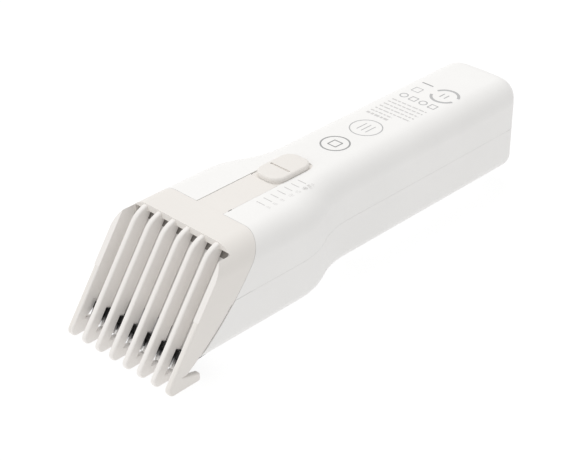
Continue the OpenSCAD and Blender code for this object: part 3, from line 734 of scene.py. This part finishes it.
def make_tail():
    slot_x = USB_HALF_W - USB_HALF_H
    port = [rod_tool(USB_HALF_H, (x, TAIL_TIP, USB_Z), PORT_ROD_L, "Y") for x in (-slot_x, slot_x)]
    port.append(box_tool("port_room", -slot_x, slot_x, PORT_FRONT, PORT_REAR, USB_Z - USB_HALF_H,
                         USB_Z + USB_HALF_H))
    screws = []
    for x in (-SCREW_X, SCREW_X):
        for radius, z, length in (SCREW_HEAD, SCREW_SHANK):
            screws.append(rod_tool(radius, (x, SCREW_Y, z), length))
    hollow_start = TAIL_CUT - OVERRUN_Y
    make_tail_shell("top_shell_tail", tail_solid(0, SEAM_Z, BODY_H, TAIL_CUT),
                    [tail_solid(WALL, SEAM_Z - OVERRUN_Z, BODY_H - WALL, hollow_start)])
    make_tail_shell("bottom_shell_tail", tail_solid(0, 0, SEAM_Z - SEAM_GAP, TAIL_CUT),
                    [tail_solid(WALL, WALL, SEAM_Z + OVERRUN_Z, hollow_start)] + port + screws)
    for name in ("top_shell", "bottom_shell"):
        shell_front(name)


make_tail()


# ---- parting line ------------------------------------------------------------

SEAM_SINK = 0.04
SEAM_DEEP = 0.9
SEAM_UP = 0.03
SEAM_DOWN = 0.16
SEAM_FRONT = 20.0
SEAM_REAR = 152.0


def side_outline(inset, start_y, end_y, steps=18):
    """Right-hand outline of the body in plan, from the head to the tail."""
    step = HALF_HEAD - HALF_HANDLE
    radius = (NECK_LEN ** 2 + step ** 2) / (4 * step)
    sweep = math.degrees(math.asin(NECK_LEN / 2 / radius))
    return ([(HALF_HEAD - inset, start_y)]
            + arc(HALF_HEAD - radius, HEAD_LEN, radius - inset, 0, sweep, steps)
            + arc(HALF_HANDLE + radius, HEAD_LEN + NECK_LEN, radius + inset, 180 + sweep, 180, steps)[1:]
            + [(HALF_HANDLE - inset, end_y)])


def make_seam():
    work = bmesh.new()
    outer = side_outline(SEAM_SINK, SEAM_FRONT, SEAM_REAR)
    inner = side_outline(SEAM_DEEP, SEAM_FRONT, SEAM_REAR)
    high = SEAM_Z + SEAM_UP
    low = SEAM_Z - SEAM_DOWN
    for side in (-1, 1):
        rows = []
        for path, z in ((outer, high), (outer, low), (inner, low), (inner, high)):
            rows.append([work.verts.new(place(side * x, y, z)) for x, y in path])
        for a, b in zip(rows, rows[1:] + rows[:1]):
            for i in range(len(a) - 1):
                work.faces.new((a[i], a[i + 1], b[i + 1], b[i]))
        work.faces.new([row[0] for row in rows])
        work.faces.new([row[-1] for row in rows])
    bmesh.ops.recalc_face_normals(work, faces=work.faces[:])
    grey = plastic("seam_grey", (0.74, 0.73, 0.72), 0.5)
    new_piece("parting_line", work, grey, "body")


make_seam()


# ---- prints ------------------------------------------------------------------

TOP_Z = 32.0
INK = 0.03
SUNK = 0.02
LINE = 0.42
SMALL_RING_Y = 80.8
LARGE_RING_Y = 95.7
TOKENS_Y = 122.2
TOKEN_XS = (-6.4, 2.0)
TOKEN_STEP = 4.2
SPLIT_RING = (4.2, 131.0)
ROWS_Y = 104.6
ROW_PITCH = 2.15
ROW_COUNT = 7
ROW_SEED = 7
ROW_LEFT = -7.6
SCALE_X = 13.4
SCALE_Y = 37.0
SCALE_STEP = 3
SCALE_COUNT = 7
DIGIT_H = 1.3
DIGIT_LINE = 0.13
CHANNEL_X = 5.78


class Prints:
    """Flat ink shapes on the top face, gathered in one mesh."""

    def __init__(self, name, material):
        self.name = name
        self.material = material
        self.mesh = bmesh.new()

    def patch(self, outline):
        low = [self.mesh.verts.new(place(x, y, TOP_Z - SUNK)) for x, y in outline]
        high = [self.mesh.verts.new(place(x, y, TOP_Z + INK)) for x, y in outline]
        self.mesh.faces.new(high)
        self.mesh.faces.new(low[::-1])
        count = len(outline)
        for i in range(count):
            j = (i + 1) % count
            self.mesh.faces.new((low[i], low[j], high[j], high[i]))

    def bar(self, x0, y0, x1, y1, width=LINE):
        length = math.hypot(x1 - x0, y1 - y0)
        nx = -(y1 - y0) / length * width / 2
        ny = (x1 - x0) / length * width / 2
        self.patch([(x0 + nx, y0 + ny), (x0 - nx, y0 - ny), (x1 - nx, y1 - ny), (x1 + nx, y1 + ny)])

    def ring(self, x, y, radius, width=LINE, start=0.0, sweep=360.0):
        steps = max(6, int(sweep / 7.5))
        for i in range(steps):
            a = math.radians(start + sweep * i / steps)
            b = math.radians(start + sweep * (i + 1) / steps)
            inner = radius - width
            self.patch([(x + inner * math.cos(a), y + inner * math.sin(a)),
                        (x + radius * math.cos(a), y + radius * math.sin(a)),
                        (x + radius * math.cos(b), y + radius * math.sin(b)),
                        (x + inner * math.cos(b), y + inner * math.sin(b))])

    def square(self, x, y, half, width=LINE):
        """Square outline."""
        for side in (-1, 1):
            self.bar(x - half, y + side * half, x + half, y + side * half, width)
            self.bar(x + side * half, y - half, x + side * half, y + half, width)

    def finish(self):
        bmesh.ops.recalc_face_normals(self.mesh, faces=self.mesh.faces[:])
        piece = as_object(self.name, self.mesh)
        piece.data.materials.append(self.material)
        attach(piece, "body")


SEGMENTS = {"top": ((0, 1), (1, 1)), "upper_right": ((1, 1), (1, 0.5)), "lower_right": ((1, 0.5), (1, 0)),
            "bottom": ((0, 0), (1, 0)), "lower_left": ((0, 0.5), (0, 0)), "upper_left": ((0, 1), (0, 0.5)),
            "middle": ((0, 0.5), (1, 0.5))}
# the strokes of each digit that the scale uses
DIGITS = {"1": "upper_right lower_right",
          "2": "top upper_right middle lower_left bottom",
          "3": "top upper_right middle lower_right bottom",
          "5": "top upper_left middle lower_right bottom",
          "6": "top upper_left middle lower_right bottom lower_left",
          "8": "top upper_right lower_right bottom lower_left upper_left middle",
          "9": "top upper_left upper_right middle lower_right bottom"}


def draw_number(prints, number, x, y, height):
    """A number that is read from the right-hand side of the clipper."""
    width = 0.55 * height
    for index, digit in enumerate(str(number)):
        y0 = y + index * width * 1.7
        for segment in DIGITS[digit].split():
            (ax, ay), (bx, by) = SEGMENTS[segment]
            prints.bar(x - ay * height, y0 + ax * width, x - by * height, y0 + bx * width, DIGIT_LINE)


def make_dark_prints():
    """Ring round a small square, and a bar near the tail."""
    prints = Prints("rings_print", plastic("print_dark", (0.33, 0.33, 0.33), 0.6))
    prints.ring(0, SMALL_RING_Y, 5.05, 0.55)
    prints.square(0, SMALL_RING_Y, 1.7, 0.45)
    prints.bar(-8.2, 134.0, -3.4, 134.0, 0.55)
    prints.finish()


def make_mid_prints():
    """Ring round three bars, split ring round two bars, and a row of plain tokens."""
    prints = Prints("marks_print", plastic("print_mid", (0.46, 0.46, 0.46), 0.6))
    prints.ring(0, LARGE_RING_Y, 5.65, 0.4)
    for x in (-1.9, 0, 1.9):
        prints.bar(x, LARGE_RING_Y - 2.5, x, LARGE_RING_Y + 2.5, 0.35)
    ring_x, ring_y = SPLIT_RING
    for start in (20, 200):
        prints.ring(ring_x, ring_y, 5.2, 1.0, start, 140)
    for x in (ring_x - 1.2, ring_x + 0.8):
        prints.bar(x, ring_y - 1.4, x, ring_y + 1.4, 0.5)
    for x in TOKEN_XS:
        prints.ring(x, TOKENS_Y, 1.6, 0.45)
        prints.square(x + TOKEN_STEP, TOKENS_Y, 1.3, 0.4)
    prints.square(-5.7, 128.3, 1.5, 0.3)
    prints.finish()


def make_row_prints():
    """Rows of dashes of random length, the first row the heaviest."""
    prints = Prints("rows_print", MATERIALS["print_ink"])
    rng = random.Random(ROW_SEED)
    for row in range(ROW_COUNT):
        y = ROWS_Y + ROW_PITCH * row
        x = ROW_LEFT
        end = 7.4 if row > 1 else 1.5
        while x < end:
            dash = rng.uniform(0.8, 2.6)
            prints.bar(x, y, min(x + dash, end), y, 0.62 if row else 1.1)
            x += dash + 0.5
    prints.finish()


def make_scale_numbers():
    prints = Prints("scale_numbers", plastic("print_pale", (0.70, 0.69, 0.68), 0.6))
    for index in range(SCALE_COUNT):
        draw_number(prints, SCALE_STEP * (index + 1), SCALE_X, SCALE_Y + SCALE_STEP * index, DIGIT_H)
    prints.finish()


def make_channel_corner():
    """Fine gap at the corner of the tongue's channel."""
    prints = Prints("channel_corner", plastic("gap_dark", (0.2, 0.19, 0.18), 0.8))
    prints.bar(CHANNEL_X, 27.4, CHANNEL_X, 28.9, 0.3)
    prints.finish()


make_dark_prints()
make_mid_prints()
make_row_prints()
make_scale_numbers()
make_channel_corner()
make_shadow_band()


# ---- stage and light ---------------------------------------------------------

FLOOR_HALF = 6.0
FLOOR_GLOW = 0.88
WORLD_LIGHT = 0.68
KEY_WATTS = 7.2
FRONT_WATTS = 2.6


def make_floor():
    corners = [(-1, -1), (1, -1), (1, 1), (-1, 1)]
    mesh = bpy.data.meshes.new("studio_floor")
    mesh.from_pydata([(x * FLOOR_HALF, y * FLOOR_HALF, 0) for x, y in corners], [], [(0, 1, 2, 3)])
    floor = bpy.data.objects.new("studio_floor", mesh)
    bpy.context.scene.collection.objects.link(floor)
    mat, nodes, links, shader = new_material("floor_white")
    coords = nodes.new("ShaderNodeTexCoord")
    clouds = noise(nodes, links, coords, 3.0)
    links.new(tint(nodes, links, clouds.outputs["Fac"], (0.15, 0.15, 0.15), (0.17, 0.17, 0.17)),
              shader.inputs["Base Color"])
    shader.inputs["Roughness"].default_value = 0.9
    shader.inputs["Specular IOR Level"].default_value = 0.0
    shader.inputs["Emission Color"].default_value = (1.0, 1.0, 1.0, 1.0)
    shader.inputs["Emission Strength"].default_value = FLOOR_GLOW
    mesh.materials.append(mat)


def area_light(name, at, look_at, size, watts):
    data = bpy.data.lights.new(name, "AREA")
    data.shape = "RECTANGLE"
    data.size = size[0]
    data.size_y = size[1]
    data.energy = watts
    light = bpy.data.objects.new(name, data)
    aim = (Vector(look_at) - Vector(at)).to_track_quat("-Z", "Y")
    light.matrix_world = Matrix.Translation(at) @ aim.to_matrix().to_4x4()
    bpy.context.scene.collection.objects.link(light)


def make_light():
    world = bpy.data.worlds.new("studio_world")
    bpy.context.scene.world = world
    world.use_nodes = True
    background = world.node_tree.nodes["Background"]
    background.inputs["Color"].default_value = (1.0, 1.0, 1.0, 1.0)
    background.inputs["Strength"].default_value = WORLD_LIGHT
    area_light("key_light", (-0.5, 0.2, 1.1), (0, 0, 0.02), (1.0, 1.0), KEY_WATTS)
    area_light("front_light", (-0.1, -1.2, 0.4), (0, -0.06, 0.02), (0.9, 0.7), FRONT_WATTS)


make_floor()
make_light()
bpy.context.scene.view_settings.view_transform = "Standard"
